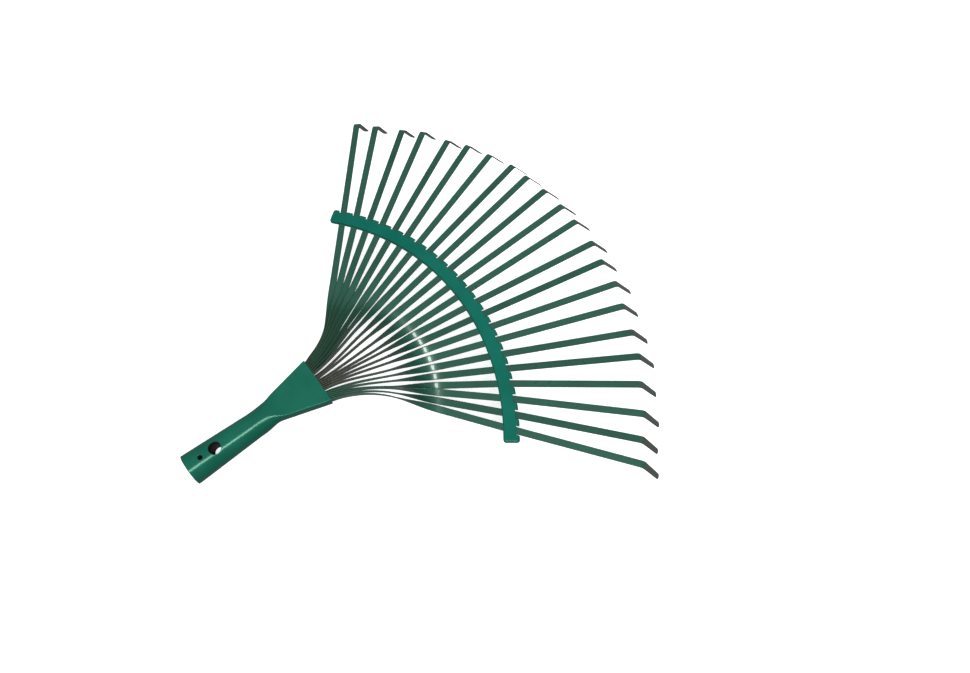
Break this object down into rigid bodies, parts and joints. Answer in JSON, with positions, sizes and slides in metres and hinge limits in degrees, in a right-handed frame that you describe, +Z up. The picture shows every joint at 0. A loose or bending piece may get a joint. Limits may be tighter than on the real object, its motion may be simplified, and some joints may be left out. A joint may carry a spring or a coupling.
{
  "type": "leaf rake head",
  "caption": "Steel leaf rake head: a tapered pole socket pressed flat into a throat, a dished fan of twisted flat tines with bent-down tips, and an arched crossbar that spaces them.",
  "frame": {"origin": "on the floor, under the middle of the head's bounding box, as the head lies on its socket mouth and outermost tips", "axes": "+X runs from the socket mouth towards the tips, +Y across the fan to its left side, +Z up"},
  "size_m": [0.4334, 0.4752, 0.0605],
  "materials": {
    "socket_paint": "glossy green enamel on pressed sheet steel",
    "crossbar_paint": "glossy green enamel on pressed sheet steel",
    "tine_paint": "green enamel on spring-steel strip"
  },
  "bodies": {
    "root": {"socket": "socket_paint", "crossbar": "crossbar_paint", "tine_01": "tine_paint", "tine_02": "tine_paint", "tine_03": "tine_paint", "tine_04": "tine_paint", "tine_05": "tine_paint", "tine_06": "tine_paint", "tine_07": "tine_paint", "tine_08": "tine_paint", "tine_09": "tine_paint", "tine_10": "tine_paint", "tine_11": "tine_paint", "tine_12": "tine_paint", "tine_13": "tine_paint", "tine_14": "tine_paint", "tine_15": "tine_paint", "tine_16": "tine_paint", "tine_17": "tine_paint", "tine_18": "tine_paint", "tine_19": "tine_paint", "tine_20": "tine_paint", "tine_21": "tine_paint", "tine_22": "tine_paint"}
  },
  "joints": []
}
